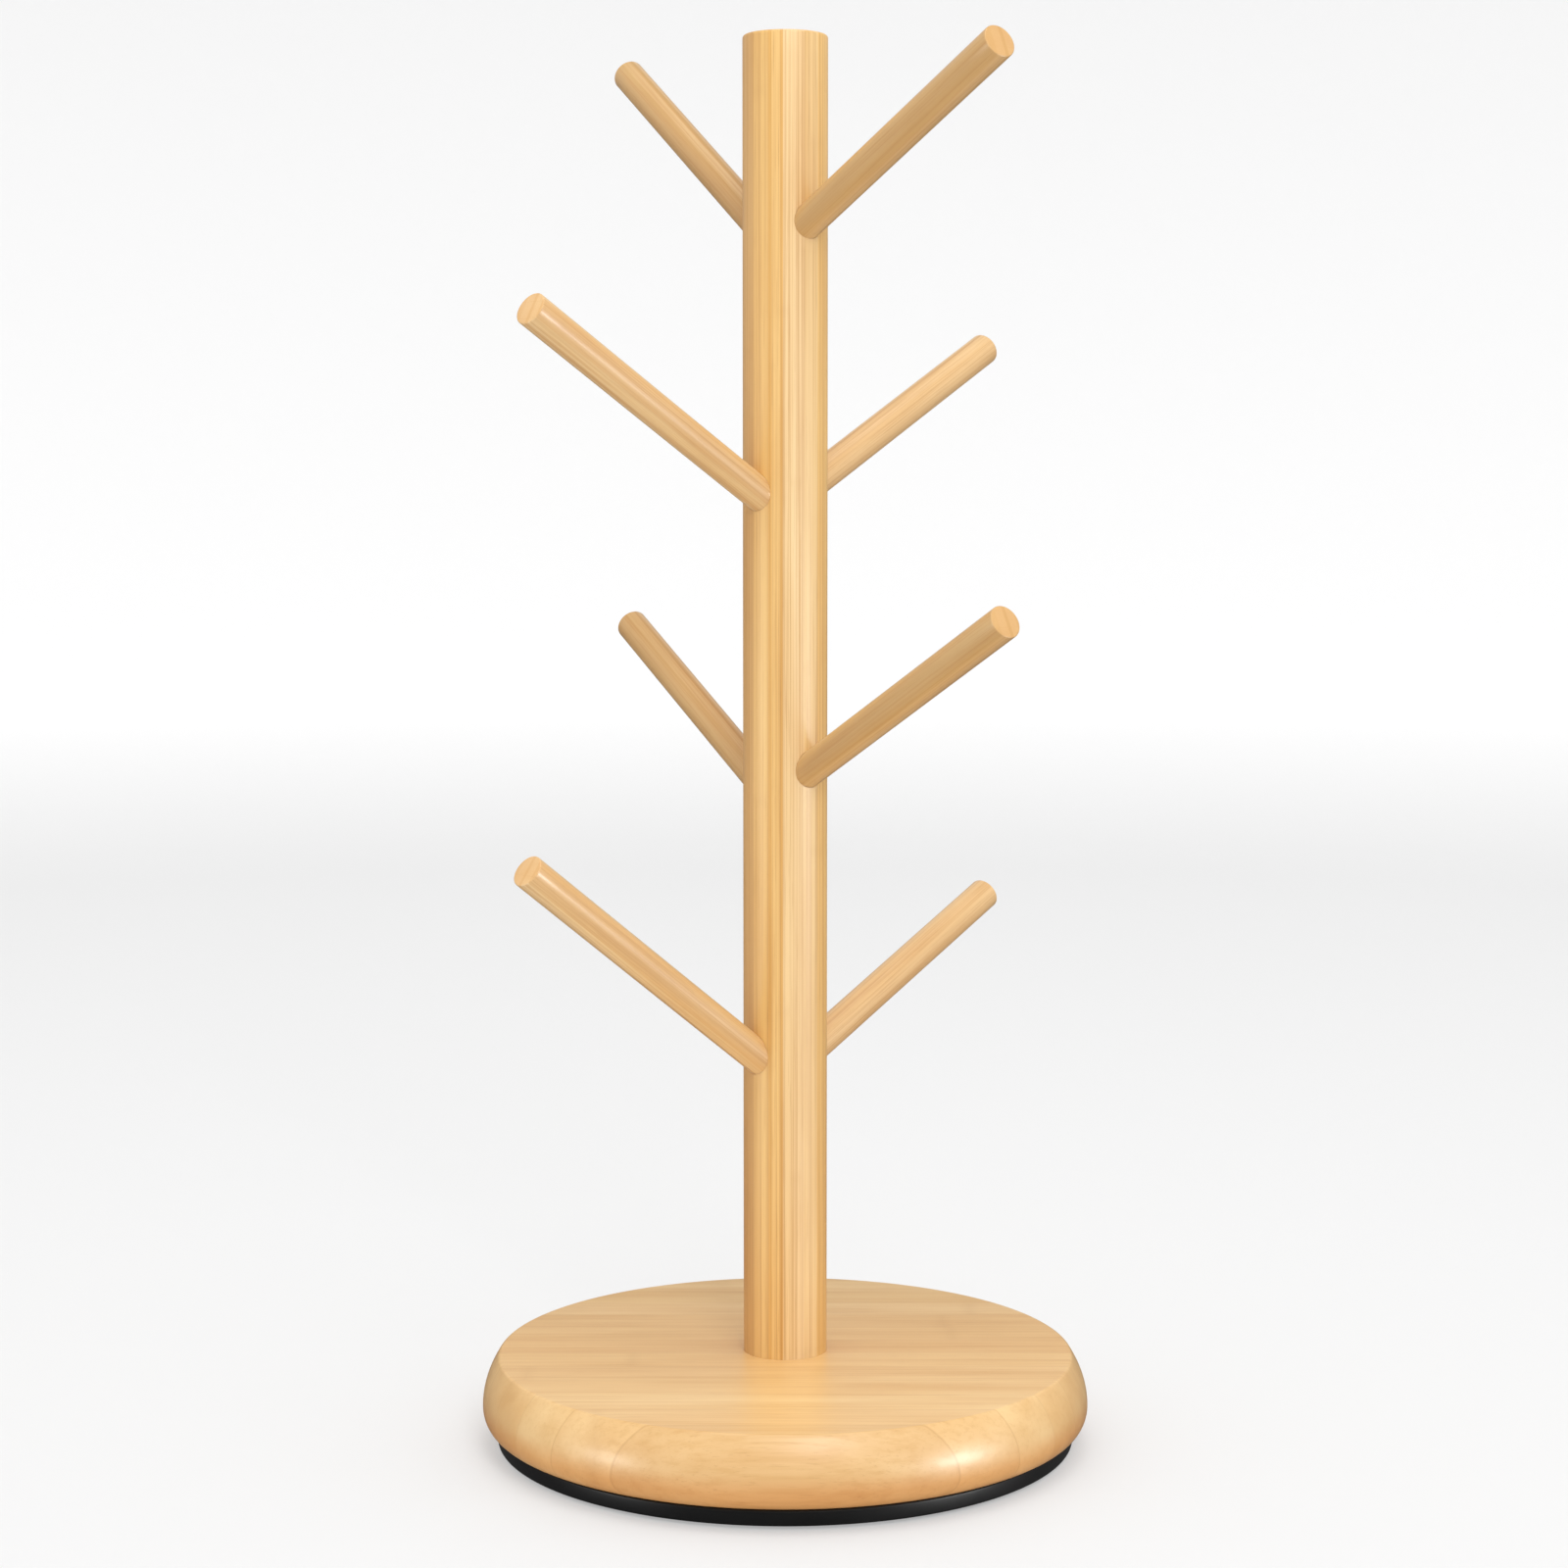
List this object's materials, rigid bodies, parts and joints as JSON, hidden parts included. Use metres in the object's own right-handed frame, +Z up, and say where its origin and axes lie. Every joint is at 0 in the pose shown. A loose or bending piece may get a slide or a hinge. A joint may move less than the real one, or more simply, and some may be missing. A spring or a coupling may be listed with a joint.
{
  "type": "revolving mug tree",
  "caption": "Free-standing bamboo mug tree: a round post with slanting peg arms on a bow-sided round base that turns freely on a ball ring over a black foot disc.",
  "frame": {"origin": "on the floor, at the centre of the foot, where the turning axis meets it", "axes": "+Z up along the post and the turning axis; -Y towards the front, which the two pairs of front arms lean over; +X to the right seen from the front"},
  "size_m": [0.204, 0.204, 0.4717],
  "materials": {
    "bamboo": "natural laminated bamboo, sanded, satin clear lacquer",
    "black_plastic": "moulded black ABS, satin",
    "black_rubber": "matt moulded rubber",
    "zinc_steel": "bright zinc-plated steel",
    "ball_steel": "polished bearing steel",
    "white_nylon": "natural moulded nylon",
    "brass": "turned brass"
  },
  "bodies": {
    "foot": {"foot_disc": "black_plastic", "outer_race": "zinc_steel", "outer_race_screw_1": "zinc_steel", "outer_race_screw_2": "zinc_steel", "outer_race_screw_3": "zinc_steel", "outer_race_screw_4": "zinc_steel", "rubber_pad_1": "black_rubber", "rubber_pad_2": "black_rubber", "rubber_pad_3": "black_rubber", "rubber_pad_4": "black_rubber", "rubber_pad_5": "black_rubber", "rubber_pad_6": "black_rubber"},
    "tree": {"wood_base": "bamboo", "post": "bamboo", "arm_1_front": "bamboo", "arm_1_rear": "bamboo", "arm_2_front": "bamboo", "arm_2_rear": "bamboo", "arm_3_front": "bamboo", "arm_3_rear": "bamboo", "arm_4_front": "bamboo", "arm_4_rear": "bamboo", "inner_race": "zinc_steel", "inner_race_screw_1": "zinc_steel", "inner_race_screw_2": "zinc_steel", "inner_race_screw_3": "zinc_steel", "inner_race_screw_4": "zinc_steel", "post_bolt": "zinc_steel", "bolt_washer": "zinc_steel", "threaded_insert": "brass"},
    "ball_ring": {"ball_cage": "white_nylon", "ball_01": "ball_steel", "ball_02": "ball_steel", "ball_03": "ball_steel", "ball_04": "ball_steel", "ball_05": "ball_steel", "ball_06": "ball_steel", "ball_07": "ball_steel", "ball_08": "ball_steel", "ball_09": "ball_steel", "ball_10": "ball_steel", "ball_11": "ball_steel", "ball_12": "ball_steel", "ball_13": "ball_steel", "ball_14": "ball_steel", "ball_15": "ball_steel", "ball_16": "ball_steel"}
  },
  "joints": [
    {"name": "tree_spin", "type": "hinge", "parent": "foot", "child": "tree", "pos_m": [0, 0, 0.0107], "axis": [0, 0, 1], "continuous": true},
    {"name": "cage_roll", "type": "hinge", "parent": "foot", "child": "ball_ring", "pos_m": [0, 0, 0.0107], "axis": [0, 0, 1], "continuous": true}
  ],
  "couplings": [
    {"joint": "cage_roll", "follows": "tree_spin", "ratio": 0.48}
  ]
}
